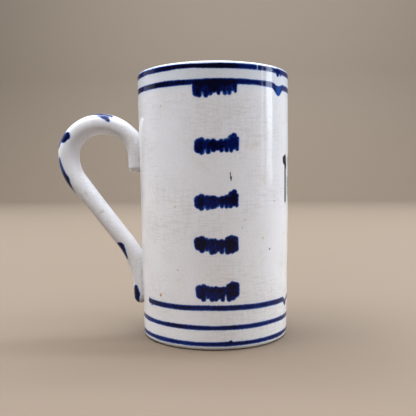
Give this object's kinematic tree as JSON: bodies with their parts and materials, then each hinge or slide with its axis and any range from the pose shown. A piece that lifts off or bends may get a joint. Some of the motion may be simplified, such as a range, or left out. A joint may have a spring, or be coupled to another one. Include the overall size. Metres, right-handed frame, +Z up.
{
  "type": "earthenware tankard",
  "caption": "Tall, slightly tapered glazed earthenware tankard with a looped strap handle, for drinking from and as an ornament.",
  "frame": {"origin": "centre of the underside, on the body's axis, at the surface that the tankard stands on", "axes": "+Z up along the body's axis, the handle stands out along -X, +Y is the far side from the picture's camera"},
  "size_m": [0.1273, 0.0812, 0.14],
  "materials": {
    "glazed_earthenware": "glossy white tin-like glaze, finely crazed, with cobalt blue brushed bands and dabs under the glaze"
  },
  "bodies": {
    "root": {"tankard": "glazed_earthenware"}
  },
  "joints": []
}
